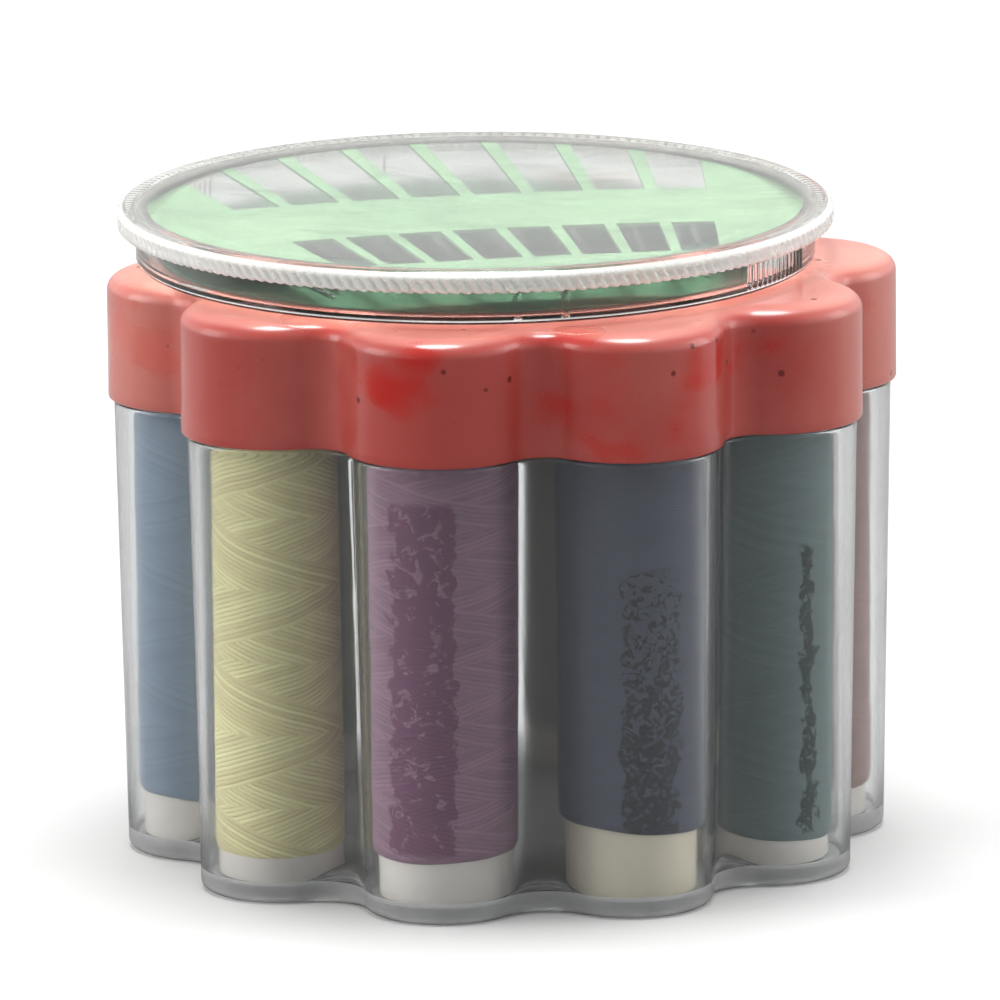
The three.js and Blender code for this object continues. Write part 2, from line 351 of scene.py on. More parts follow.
def lid_plastic():
    """Red moulded plastic: softly clouded, glossier in a few patches, with small pits. Its upward faces and its side
    lobes are painted paler pink, partly the milky haze of a shrink-wrap film and partly painted light; its pits get
    painted shade.
    """
    m, t = new_material("lid_red_gloss")
    c = coords(t)
    cloud = noise(t, coords(t, (1, 1, 0.8)), 45, 4, 0.55, 0.2)
    patch = noise(t, coords(t, (1, 1, 1.5)), 60, 2.0, 0.45, 0.15)
    grain = noise(t, c, 3200, 2, 0.6)
    pits = N(t, "TexVoronoi", {"Vector": c, "Scale": 300.0, "Randomness": 1.0}).outputs["Distance"]
    few = ramp(t, noise(t, c, 130, 2, 0.5), 0.54, 0.58)
    pit_with_shade = maths(t, "MULTIPLY", ramp(t, pits, 0.17, 0.10), few)
    up = N(t, "SeparateXYZ", {"Vector": N(t, "NewGeometry").outputs["Normal"]}).outputs["Z"]
    place = N(t, "SeparateXYZ", {"Vector": c})
    # painted light: faces turned upwards are painted paler pink, partly the milky haze of the shrink-wrap film, partly
    # a painted highlight from the light above
    haze = ramp(t, up, 0.66, 0.98, 0.0, 0.44)
    haze = maths(t, "MULTIPLY", haze, ramp(t, cloud, 0.25, 0.75, 0.7, 1.2))
    haze = maths(t, "ADD", haze, ramp(t, cloud, 0.40, 0.75, 0.0, 0.12))
    # painted light: the side lobes are painted paler than the front ones, as if lit from both sides
    haze = maths(t, "ADD", haze, ramp(t, maths(t, "ABSOLUTE", place.outputs["X"]), 0.036, 0.050, 0.0, 0.30))
    wet = ramp(t, patch, 0.52, 0.68)
    red = mixed(t, wet, rgba((0.40, 0.050, 0.040)), rgba((0.46, 0.016, 0.010)))
    red = mixed(t, ramp(t, grain, 0.35, 0.7, 0.0, 0.10), red, rgba((0.25, 0.012, 0.010)))
    colour = mixed(t, haze, red, rgba((0.80, 0.36, 0.29)))
    # painted shade: each small pit is painted dark red, as the shade in the dent
    colour = mixed(t, pit_with_shade, colour, rgba((0.16, 0.012, 0.010)))
    rough = maths(
        t,
        "ADD",
        ramp(t, wet, 0, 1, 0.34, 0.14),
        ramp(t, grain, 0.3, 0.8, 0.0, 0.05),
    )
    normal = bump(t, cloud, 0.25, 0.0005)
    normal = bump(t, pit_with_shade, 0.4, 0.0001, normal)
    normal = bump(t, grain, 0.06, 0.00004, normal)
    output(
        t,
        principled(
            t,
            {
                "Base Color": colour,
                "Roughness": rough,
                "IOR": 1.5,
                "Coat Weight": 0.35,
                "Coat Roughness": 0.06,
                "Subsurface Weight": 0.05,
                "Subsurface Radius": (0.003, 0.0006, 0.0005),
                "Normal": normal,
            },
        ),
    )
    return m


def thread_yarn(name, colour, contact=None, seams=0.3, sheen=0.25):
    """Wound thread. The yarn attribute is (along, across, gap_shade), gap_shade being the depth between strands that
    sets the painted shade there; strand is a random number for each strand, set lower on strands seen lying underneath
    as painted shade.
    """
    m, t = new_material(name)
    yarn = N(t, "Attribute", attribute_name="yarn").outputs["Vector"]
    strand = N(t, "Attribute", attribute_name="strand").outputs["Fac"]
    parts = N(t, "SeparateXYZ", {"Vector": yarn})
    gap_shade = parts.outputs["Z"]
    # painted shade: the thin dark line in the crease between one strand and the next
    across_strand = maths(t, "ABSOLUTE", maths(t, "SUBTRACT", maths(t, "FRACT", parts.outputs["Y"]), 0.5))
    seam = ramp(t, across_strand, 0.30, 0.50)
    fibre = noise(
        t, N(t, "Mapping", {"Vector": yarn, "Scale": (0.9, 3.2, 0.0)}).outputs["Vector"], 3.0, 3, 0.65
    )
    ply = N(
        t,
        "TexWave",
        {
            "Vector": N(t, "Mapping", {"Vector": yarn, "Scale": (1.6, 1.1, 0.0)}).outputs["Vector"],
            "Scale": 1.0,
            "Distortion": 1.2,
            "Detail": 1.0,
        },
        bands_direction="DIAGONAL",
    ).outputs["Fac"]
    fade = noise(t, coords(t), 110, 3, 0.55)
    dark = rgba([x * 0.62 for x in colour])
    light = rgba([min(1, x * 1.22 + 0.012) for x in colour])
    base = mixed(t, ramp(t, strand, 0, 1, 0.40 - 0.30 * seams, 0.60 + 0.30 * seams, False), dark, light)
    base = mixed(t, ramp(t, fibre, 0.3, 0.75, 0.0, 0.30), base, light)
    # painted shade: deep between the strands the thread is painted darker
    base = mixed(t, ramp(t, gap_shade, 0.40, 1.0, 0.0, 0.06 + 0.32 * seams), base, rgba([x * 0.35 for x in colour]))
    # the painted crease shade, broken up along its length
    broken_seam_shade = maths(t, "MULTIPLY", seam, ramp(t, noise(t, coords(t), 330, 3, 0.6), 0.35, 0.65, seams * 0.35, seams))
    base = mixed(t, broken_seam_shade, base, rgba([x * 0.34 for x in colour]))
    base = mixed(t, ramp(t, fade, 0.35, 0.75, 0.0, 0.14), base, rgba([min(1, x * 0.8 + 0.06) for x in colour]))
    if contact is not None:
        # where the winding presses on the clear wall it looks darker, in a ragged upright band
        x, y, half_width, z_low, z_high, share, broken, pressed = contact
        place = N(t, "SeparateXYZ", {"Vector": coords(t)})
        across = maths(
            t,
            "ABSOLUTE",
            maths(t, "SUBTRACT", place.outputs["X"], x * MM),
        )
        ragged = noise(t, coords(t), 330, 4, 0.6, 0.3)
        edge = maths(t, "ADD", across, ramp(t, ragged, 0.3, 0.7, -0.0009, 0.0009, False))
        inside = ramp(t, edge, half_width * MM, half_width * MM - 0.0003)
        front = ramp(t, place.outputs["Y"], y * MM, (y - 0.6) * MM)
        tall = maths(
            t,
            "MULTIPLY",
            ramp(t, place.outputs["Z"], z_low * MM, (z_low + 1.2) * MM),
            ramp(t, place.outputs["Z"], z_high * MM, (z_high - 1.2) * MM),
        )
        # nearly whole low down, broken up higher
        holes = noise(t, coords(t), 640 if half_width > 4 else 980, 3, 0.6, 0.9)
        rise = ramp(t, place.outputs["Z"], z_low * MM, z_high * MM, 0.0, broken, False)
        holes = ramp(t, maths(t, "ADD", holes, rise), 0.585, 0.625, 1.0, 0.10)
        wet = maths(t, "MULTIPLY", maths(t, "MULTIPLY", inside, front), maths(t, "MULTIPLY", tall, holes))
        wet = maths(t, "MULTIPLY", wet, share)
        pressed = mixed(t, broken_seam_shade, rgba(pressed), rgba([v * 0.45 for v in pressed]))
        base = mixed(t, wet, base, pressed)
    rough = ramp(t, fibre, 0.2, 0.8, 0.62, 0.92, False)
    normal = bump(t, maths(t, "SUBTRACT", 1.0, seam), 0.55 * seams, 0.00010)
    normal = bump(t, ply, 0.10, 0.00003, normal)
    normal = bump(t, fibre, 0.15, 0.00003, normal)
    output(
        t,
        principled(
            t,
            {
                "Base Color": base,
                "Roughness": rough,
                "IOR": 1.45,
                "Specular IOR Level": 0.35,
                "Sheen Weight": sheen,
                "Sheen Roughness": 0.5,
                "Sheen Tint": rgba([min(1, 0.5 + x) for x in colour]),
                "Normal": normal,
            },
        ),
    )
    return m


def white_tube(name, tone):
    m, t = new_material(name)
    c = coords(t)
    cloud = noise(t, c, 140, 4, 0.6)
    speck = noise(t, c, 1900, 2, 0.7)
    line = noise(t, coords(t, (1, 1, 0.04)), 900, 3, 0.55)
    base = mixed(t, ramp(t, cloud, 0.3, 0.75), rgba(tone), rgba([x * 0.90 for x in tone]))
    base = mixed(t, ramp(t, speck, 0.64, 0.74, 0, 0.35), base, rgba([x * 0.62 for x in tone]))
    normal = bump(t, line, 0.25, 0.00008)
    normal = bump(t, speck, 0.12, 0.00004, normal)
    output(
        t,
        principled(
            t,
            {
                "Base Color": base,
                "Roughness": ramp(t, cloud, 0.3, 0.8, 0.42, 0.62, False),
                "IOR": 1.5,
                "Subsurface Weight": 0.12,
                "Subsurface Radius": (0.0015, 0.0012, 0.001),
                "Normal": normal,
            },
        ),
    )
    return m


def card_stock():
    m, t = new_material("card_green")
    c = coords(t)
    grain = noise(t, c, 1300, 4, 0.85)
    fleck = noise(t, c, 900, 2, 0.5, 0.3)
    cloud = noise(t, c, 32, 4, 0.6)
    base = mixed(t, ramp(t, cloud, 0.3, 0.75), rgba((0.145, 0.305, 0.155)), rgba((0.20, 0.36, 0.19)))
    base = mixed(t, ramp(t, grain, 0.50, 0.62, 0, 0.8), base, rgba((0.36, 0.50, 0.32)))
    base = mixed(t, ramp(t, fleck, 0.58, 0.66, 0, 0.5), base, rgba((0.13, 0.26, 0.16)))
    normal = bump(t, grain, 0.45, 0.00007)
    output(
        t,
        principled(
            t,
            {
                "Base Color": base,
                "Roughness": ramp(t, grain, 0.3, 0.7, 0.68, 0.9, False),
                "IOR": 1.45,
                "Specular IOR Level": 0.3,
                "Normal": normal,
            },
        ),
    )
    return m


def felt():
    m, t = new_material("liner_felt_green")
    c = coords(t)
    fuzz = noise(t, c, 1400, 5, 0.75, 0.8)
    cloud = noise(t, c, 90, 3, 0.6)
    # painted shade: the felt's dark green is painted darker still, standing in for the shade under the card
    base = mixed(t, ramp(t, fuzz, 0.3, 0.7), rgba((0.032, 0.082, 0.045)), rgba((0.070, 0.15, 0.088)))
    base = mixed(t, ramp(t, cloud, 0.35, 0.7, 0, 0.3), base, rgba((0.12, 0.24, 0.15)))
    output(
        t,
        principled(
            t,
            {
                "Base Color": base,
                "Roughness": 0.95,
                "IOR": 1.4,
                "Specular IOR Level": 0.1,
                "Sheen Weight": 0.04,
                "Sheen Roughness": 0.6,
                "Sheen Tint": rgba((0.7, 0.85, 0.75)),
                "Normal": bump(t, fuzz, 0.8, 0.00018),
            },
        ),
    )
    return m


def needle_steel():
    m, t = new_material("needle_steel")
    c = coords(t)
    polish = noise(t, coords(t, (1, 0.05, 1)), 5000, 2, 0.5)
    stain = noise(t, c, 260, 3, 0.6)
    base = mixed(t, ramp(t, stain, 0.4, 0.75), rgba((0.62, 0.63, 0.65)), rgba((0.45, 0.44, 0.43)))
    output(
        t,
        principled(
            t,
            {
                "Base Color": base,
                "Metallic": 1.0,
                "Roughness": ramp(t, polish, 0.3, 0.7, 0.14, 0.30, False),
                "Normal": bump(t, polish, 0.12, 0.00001),
            },
        ),
    )
    return m


def paint(ob, material, body, slot, *replaced):
    ob.data.materials.clear()
    ob.data.materials.append(material)
    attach(ob, body)
    if replaced:
        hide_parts(*replaced)
    return ob


def repaint(ob, material, inside):
    """Gives the faces whose middle passes inside(points in millimetres) a second material."""
    me = ob.data
    me.materials.append(material)
    middle = np.empty(len(me.polygons) * 3, np.float32)
    me.polygons.foreach_get("center", middle)
    chosen = inside(middle.reshape(-1, 3) / MM)
    me.polygons.foreach_set("material_index", chosen.astype(np.int32))
    me.update()


# ---- tub ----
def tub():
    def outer(z):
        return 1.85 + (0.75 - 1.85) * (np.asarray(z, float) - 0.7) / 60.2

    def inner(z):
        return 2.15 + (2.75 - 2.15) * (76.1 - np.asarray(z, float)) / 73.5

    first = scallop_ring(3.9, 0.8)
    rings = [shrunk(first, s) for s in (0.04, 0.3, 0.6, 0.85)]
    # a shallow dome in the recess, thinner towards the middle
    for ring, lift in zip(rings, (0.45, 0.38, 0.2, 0.05)):
        ring[:, 2] += lift
    rings += [first, scallop_ring(3.7, 0.62), scallop_ring(3.58, 0.2), scallop_ring(3.42, 0.04), scallop_ring(3.25, 0)]
    r = 1.2
    for phi in np.radians([0, 18, 36, 54, 72, 90]):
        z = r * (1 - math.cos(phi))
        rings.append(scallop_ring(float(outer(r)) + r - r * math.sin(phi), z))
    for z in (3, 8, 16, 25, 34, 43, 52, 58, 60.2):
        rings.append(scallop_ring(float(outer(z)), z))
    rings += [
        scallop_ring(0.76, 60.62),
        scallop_ring(0.84, 60.82),
        scallop_ring(1.0, 60.9),
        scallop_ring(1.24, 60.9),
        scallop_ring(1.3, 60.98),
        scallop_ring(1.3, 68),
        scallop_ring(1.32, 75.6),
        scallop_ring(1.42, 75.95),
        scallop_ring(1.72, 76.1),
        scallop_ring(2.02, 75.95),
        scallop_ring(2.15, 75.6),
    ]
    for z in (70, 60, 50, 40, 30, 22, 15, 10):
        rings.append(scallop_ring(float(inner(z)), z))
    rf = 0.8 + 3.2 * IN_VALLEY**0.8
    for phi in np.radians([0, 12, 25, 40, 55, 70, 82, 90]):
        z = 2.1 + rf * (1 - math.sin(phi))
        rings.append(scallop_ring(inner(2.1 + rf) + rf * (1 - math.cos(phi)), z))
    last = rings[-1]
    rings += [shrunk(last, s, 2.1) for s in (0.9, 0.6, 0.3, 0.04)]
    return mesh_of("tub_shell", *skin(rings, cap_first=True, cap_last=True), sharp=50)


def lid():
    ceiling = scallop_ring(1.25, 76.4)
    rings = [shrunk(ceiling, s) for s in (0.04, 0.35, 0.7, 0.93)] + [ceiling]
    rings += [scallop_ring(1.05, 76.3), scallop_ring(0.97, 76.0)]
    for z in (72, 68, 64, 61.6):
        rings.append(scallop_ring(0.95, z))
    rings += [scallop_ring(0.86, 61.32), scallop_ring(0.66, 61.2), scallop_ring(0.28, 61.2), scallop_ring(0.09, 61.28), scallop_ring(0.0, 61.5)]
    for z in (62.5, 64.5, 67, 70, 73, 75.2):
        rings.append(scallop_ring(0.0, z))
    wide, tall = 3.4, 2.3
    for phi in np.radians([90, 80, 70, 60, 50, 41, 32, 24, 16, 8, 0]):
        rings.append(scallop_ring(wide - wide * math.sin(phi), 78.0 - tall + tall * math.cos(phi)))
    last = rings[-1]
    rings += [shrunk(last, s) for s in (0.96, 0.9, 0.8, 0.6, 0.35, 0.04)]
    return mesh_of("lid_shell", *skin(rings, cap_first=True, cap_last=True), sharp=50)


# ---- spools ----
def spool_tube(name, x, y):
    c = 0.3
    a, b, z0, z1 = TUBE_BORE_R, TUBE_R, TUBE_Z, TUBE_Z + TUBE_LENGTH
    profile = [
        (a, z0 + c), (a + 0.08, z0 + 0.08), (a + c, z0), (b - c, z0), (b - 0.08, z0 + 0.08), (b, z0 + c),
    ]
    profile += [(b, z0 + h) for h in (4, 12, 36, 60, 68)]
    profile += [(b, z1 - c), (b - 0.08, z1 - 0.08), (b - c, z1), (a + c, z1), (a + 0.08, z1 - 0.08), (a, z1 - c)]
    profile += [(a, z0 + h) for h in (60, 30, 8)]
    rings = lathe(profile, 96, centre=(x, y))
    return mesh_of(name, *skin(rings, close=True), sharp=40)


def winding(name, x, y, bare, low, high, lead, pitch, depth, seed, vertex_angle, vertex_z, strays=(), slant=0.0):
    """A cross-wound thread body as one closed mesh. Strands climb and fall round the tube with one lead, each pass beside the one before it,
    so that whichever pass came later lies on top. Rising and falling passes cross at vertex_angle and vertex_z."""
    rng = np.random.default_rng(seed)
    columns = 150 if pitch > 0.53 else 120
    rows = int((THREAD_TOP - bare) / (0.1 if pitch > 0.53 else 0.112))
    z = np.linspace(bare, THREAD_TOP, rows)[:, None]
    th = (np.arange(columns) * TAU / columns)[None, :]
    mean_r = (low + high) / 2
    turn = lead * (th - vertex_angle) / TAU
    count = round(lead / pitch)
    step = lead / count
    wobble = np.zeros((rows, columns))
    for harmonic in (1, 2, 3, 5, 8):
        f = rng.uniform(0.05, 0.22)
        wobble += (
            rng.uniform(0.05, 0.16)
            * step
            * np.sin(harmonic * th + rng.uniform(0, TAU) + f * z * rng.choice([-1, 1]))
        )
    zz = z - (vertex_z - TUBE_Z)
    p = np.mod(turn - zz + wobble, lead)
    q = np.mod(zz + turn + wobble * 0.8, lead)
    kp, kq = np.minimum((p / step).astype(int), count - 1), np.minimum((q / step).astype(int), count - 1)
    fp, fq = p / step - kp, q / step - kq
    lift = rng.uniform(-0.3, 0.0, (2, count)) * depth
    shade = rng.uniform(0, 1, (2, count))
    waist = rng.uniform(0.40, 0.60, (2, count))

    def hump(f, k, side):
        c = waist[side][k]
        g = np.where(f < c, f / (2 * c), 0.5 + (f - c) / (2 * (1 - c)))
        return np.sqrt(np.clip(1 - (2 * g - 1) ** 2, 0, 1))

    hp, hq = hump(fp, kp, 0), hump(fq, kq, 1)
    age_p, age_q = kp / count, (kq + 0.5) / count
    top_p = age_p > age_q
    over = np.where(top_p, hp, hq)
    under = np.where(top_p, hq, hp)
    age = np.where(top_p, age_p, age_q)
    k_over = np.where(top_p, kp, kq)
    side = np.where(top_p, 0, 1)
    a = -depth * (1 - over) + lift[side, k_over] - 0.12 * depth * (1 - age)
    b = -0.45 * depth - depth * (1 - under) - 0.12 * depth * (1 - age)
    height = np.maximum(a, b)
    # a strand seen lying underneath gets a lower value, painted shade under the strands that cross it
    strand = np.where(a >= b, shade[side, k_over], shade[1 - side, np.where(top_p, kq, kp)] * 0.6)
    gap_shade = np.clip(-height / (1.9 * depth), 0, 1)
    if len(strays):
        height = height - 0.10
        for angle, height_at, slope, reach, radius in strays:
            u = np.mod(th - angle + math.pi, TAU) - math.pi
            line = height_at - TUBE_Z + slope * u * mean_r + 0.25 * np.sin(2.3 * u + angle)
            d = np.abs(z - line) / math.sqrt(1 + slope * slope)
            on = (d < radius) & (np.abs(u) < reach)
            bulge = -0.10 + radius * np.sqrt(np.clip(1 - (d / radius) ** 2, 0, 1))
            take = on & (bulge > height)
            height = np.where(take, np.minimum(bulge, 0.0), height)
            strand = np.where(take, 1.0, strand)
            gap_shade = np.where(take, 0.0, gap_shade)
    base = low + (high - low) * np.clip((z - bare) / (THREAD_TOP - 0.8 - bare), 0, 1)
    end = 1.1
    low_end = np.clip((z - bare) / end, 0, 1)
    high_end = np.clip((THREAD_TOP - z) / end, 0, 1)
    room = base - THREAD_IN
    soft = np.minimum(low_end, high_end)
    shape = np.sqrt(np.clip(1 - (1 - soft) ** 2, 0, 1))
    wander = 0.05 * np.sin(3 * th + seed) + 0.04 * np.sin(7 * th + 2 * seed)
    radius = base + height - np.clip((1 - shape) * room * 0.75, 0, None) + np.where(soft < 1, (wander - 0.09) * (1 - soft), 0)
    radius = np.clip(radius, THREAD_IN + 0.05, base)
    # the lower end is wound a little askew: lower on the right
    droop = -slant * np.cos(th) + 0.10 * np.sin(2 * th + seed) + 0.05 * np.sin(5 * th + seed)
    zr = z + droop * np.clip(1 - (z - bare) / 12.0, 0, 1) ** 1.5 + TUBE_Z
    body = np.stack([x + radius * np.cos(th), y + radius * np.sin(th), zr], axis=-1)
    ring_in = np.column_stack([x + THREAD_IN * np.cos(th[0]), y + THREAD_IN * np.sin(th[0])])
    bottom = np.column_stack([ring_in, zr[0]])
    top = np.column_stack([ring_in, np.full(columns, THREAD_TOP + TUBE_Z)])
    rings = np.concatenate([bottom[None], body, top[None]])
    points, faces = skin(rings, close=True)
    slant = lead / (TAU * mean_r)
    u = (th * mean_r) + 0 * z
    along = np.where(top_p, u + slant * z, u - slant * z)
    across = np.where(top_p, kp + fp, kq + fq) * 1.0
    yarn = np.stack([along, across, gap_shade], axis=-1)
    pad = np.zeros((1, columns))
    yarn = np.concatenate([yarn[:1], yarn, yarn[-1:]])
    strand = np.concatenate([pad + 0.4, strand, pad + 0.4])
    return mesh_of(
        name,
        points,
        faces,
        attributes={
            "yarn": ("FLOAT_VECTOR", yarn.reshape(-1, 3)),
            "strand": ("FLOAT", strand.ravel()),
        },
    )


# ---- compact ----
def rib_angles():
    """Angles for the dish: fine where it has grip ribs."""
    zones = [(-40.0, -16.0), (140.0, 164.0), (-76.5, -73.5), (-84.3, -81.7), (104.0, 107.0)]
    out = []
    a = -180.0
    while a < 180.0 - 1e-6:
        out.append(a)
        fine = any(lo - 1e-6 <= a < hi - 1e-6 for lo, hi in zones)
        step = 0.2 if fine else 1.0
        nxt = a + step
        for lo, _ in zones:
            if a < lo - 1e-6 < nxt - 1e-6:
                nxt = lo
        a = round(nxt, 4)
    return np.array(out)


def dish():
    deg = rib_angles()
    rib = np.zeros(len(deg))
    for lo, hi, count in ((-38.0, -18.0, 13), (142.0, 162.0, 13)):
        inside = (deg >= lo) & (deg <= hi)
        rib = np.where(inside, 0.5 - 0.5 * np.cos(TAU * (deg - lo) / (hi - lo) * count), rib)
    for c, h in ((-75.0, 1.0), (-83.0, 0.5), (105.5, 1.0)):
        rib = np.maximum(rib, h * np.clip(1 - ((deg - c) / 0.7) ** 2, 0, 1))
    rib *= 0.34
    profile = [
        (3.0, 78.05), (25.0, 78.05), (44.2, 78.05), (44.6, 78.09), (44.88, 78.3), (45.0, 78.6),
        (45.0, 78.75), (45.0 + rib * 0.6, 78.88), (45.0 + rib, 79.1), (45.0 + rib, 80.2), (45.0 + rib, 81.4),
        (45.0 + rib, 82.1), (45.0 + rib * 0.5, 82.3), (45.0, 82.42), (45.0, 83.2), (44.97, 84.05), (44.86, 84.17),
        (44.7, 84.2), (44.2, 84.2), (44.06, 84.15), (44.0, 84.0), (44.0, 82.0), (44.0, 79.8), (43.9, 79.2),
        (43.6, 78.92), (43.2, 78.85), (25.0, 78.85), (3.0, 78.85),
    ]
    rings = lathe(profile, angles=np.radians(deg), centre=COMPACT[:2])
    return mesh_of("compact_dish_shell", *skin(rings, cap_first=True, cap_last=True), sharp=40)


def cover():
    teeth, per = 195, 8
    n = teeth * per
    th = np.arange(n) * TAU / n
    rng = np.random.default_rng(7)
    size = np.repeat(rng.uniform(0.8, 1.0, teeth), per)
    size = np.convolve(np.concatenate([size[-4:], size, size[:4]]), np.ones(9) / 9, "valid")

    def tooth(z):
        # each tooth leans over as it rises
        phase = np.mod(teeth * th / TAU + (z - 82.6) * 0.42, 1.0)
        saw = np.where(phase < 0.72, phase / 0.72, (1 - phase) / 0.28)
        return np.sin(saw * math.pi / 2) ** 0.8 * size

    foot = tooth(82.6)
    profile = [
        (2.0, 84.75), (20.0, 84.75), (40.0, 84.75), (44.75, 84.75), (45.1, 84.68), (45.3, 84.45), (45.35, 84.1),
        (45.35, 82.9), (45.42, 82.72), (45.62, 82.66),
        (46.6, 82.66 + 0.10 * (1 - foot)),
        (47.05, 82.62 + 0.30 * (1 - foot)),
    ]
    for z, depth in ((82.8, 0.46), (83.1, 0.46), (83.45, 0.45), (83.8, 0.44), (84.1, 0.40), (84.35, 0.30), (84.55, 0.16)):
        lower = 0.22 * (1 - foot) if z < 82.9 else 0
        edge = 0.12 if z < 82.9 else 0
        profile.append((47.5 - edge - depth * (1 - tooth(z)), z + lower))
    profile += [
        (47.42, 84.78), (47.1, 85.02), (46.7, 85.32), (46.42, 85.52), (46.2, 85.6), (45.6, 85.6), (44.95, 85.6),
        (44.72, 85.54), (44.55, 85.42), (44.3, 85.36), (40.0, 85.35), (20.0, 85.35), (2.0, 85.35),
    ]
    rings = lathe(profile, angles=th, centre=COMPACT[:2])
    return mesh_of("compact_cover_shell", *skin(rings, cap_first=True, cap_last=True), sharp=60)


def liner():
    n = 160
    th = np.arange(n) * TAU / n
    rng = np.random.default_rng(11)
    edge = sum(rng.uniform(0.02, 0.06) * np.sin(k * th + rng.uniform(0, TAU)) for k in (3, 5, 9, 14, 23))
    lo, hi = 78.87, 79.37
    profile = [(2, lo), (20, lo), (42.0 + edge, lo), (42.25 + edge, lo + 0.12), (42.3 + edge, lo + 0.3), (42.15 + edge, hi - 0.04), (41.8 + edge, hi)]
    rings = list(lathe(profile, angles=th, centre=COMPACT[:2]))
    for r in (40, 38, 35.5, 33, 31, 28.5, 26, 23.5, 21, 18.5, 16, 13.5, 11, 8.5, 6, 3.5, 1.2):
        wave = 0.03 * np.sin(5 * th + r) + 0.025 * np.sin(11 * th - 1.7 * r)
        rings.append(
            np.column_stack([COMPACT[0] + r * np.cos(th), COMPACT[1] + r * np.sin(th), np.full(n, hi - 0.03) + wave * 0.5])
        )
    return mesh_of("liner_disc", *skin(np.stack(rings), cap_first=True, cap_last=True), sharp=60)


def needle(index, i, j):
    """A hand-sewing needle: a tapered shank, and an eye drawn as a closed loop of wire."""
    length = [41, 39, 37, 35, 36, 38, 40, 42][i] - 2 * j
    half = length / 2
    r = 0.38
    eye = 2.6
    ts = [(0.02, -half), (0.08, -half + 0.5), (0.16, -half + 1.6), (0.26, -half + 3.6), (0.34, -half + 7), (r, -half + 11), (r, half - 9), (r * 0.96, half - eye - 1.4), (r * 0.80, half - eye - 0.5), (r * 0.45, half - eye + 0.1)]
    rings = lathe(ts, 14)
    points, faces = skin(rings, cap_first=True, cap_last=True)
    # the eye: a long loop in the plane of X and the needle's length
    m, sides = 36, 8
    a = np.arange(m) * TAU / m
    wide, tall = 0.22, eye / 2 - 0.12
    px = wide * np.sign(np.cos(a)) * np.abs(np.cos(a)) ** 0.6
    pz = half - eye / 2 + tall * np.sign(np.sin(a)) * np.abs(np.sin(a)) ** 0.9
    path = np.column_stack([px, np.zeros(m), pz])
    tangent = np.roll(path, -1, 0) - np.roll(path, 1, 0)
    tangent /= np.linalg.norm(tangent, axis=1, keepdims=True)
    across = np.cross(tangent, [0, 1, 0])
    b = np.arange(sides) * TAU / sides
    wire = 0.12
    loop = path[:, None] + wire * (np.cos(b)[None, :, None] * across[:, None] + np.sin(b)[None, :, None] * np.array([0, 1, 0]))
    lp = loop.reshape(-1, 3)
    r_, c_ = np.arange(m)[:, None], np.arange(sides)[None, :]
    rn, cn = (r_ + 1) % m, (c_ + 1) % sides
    off = len(points)
    quads = off + np.stack([r_ * sides + c_, rn * sides + c_, rn * sides + cn, r_ * sides + cn], axis=-1).reshape(-1, 4)
    points = np.vstack([points, lp])
    # stand the needle along Y, its point one way or the other, then place it in the card's turned frame
    flip = 1 if (i + j) % 2 else -1
    p = np.column_stack([points[:, 0], points[:, 2] * flip, -points[:, 1] * flip])
    line = (i - 3.5) * FAN_PITCH + math.radians(0.39 if j else -0.39)
    turn = math.radians([0.9, -1.1, 0.5, -0.4, 1.2, -0.8, 0.3, -0.6][i] * (-0.6 if j else 1)) - line
    c, s = math.cos(turn), math.sin(turn)
    p = np.column_stack([p[:, 0] * c - p[:, 1] * s, p[:, 0] * s + p[:, 1] * c, p[:, 2]])
    reach = FAN_R - 7 + (i % 3) * 0.8 - 0.8 + j * 0.7
    p += np.array([reach * math.sin(line), reach * math.cos(line) - FAN_R, 79.80])
    c, s = math.cos(CARD_TURN), math.sin(CARD_TURN)
    p = np.column_stack([p[:, 0] * c - p[:, 1] * s, p[:, 0] * s + p[:, 1] * c, p[:, 2]])
    p += COMPACT
    faces = [faces[0], *faces[1:], quads]
    return mesh_of(f"sewing_needle_{index:02d}", p, faces, sharp=50)


# ---- build ----
clear = clear_plastic("tub_clear", (0.93, 0.94, 0.945), (0.90, 0.91, 0.91), 0.976, 0.00025, 0.06, 0.13, 0.84)
case = paint(tub(), clear, "tub_case", "clear_tub", "tub")
repaint(case, frosted("tub_foot_frosted", (0.80, 0.81, 0.815), 0.62, 0.0, 0.16), lambda p: p[:, 2] < 2.2)
paint(lid(), lid_plastic(), "lid_cap", "red_lid", "lid")

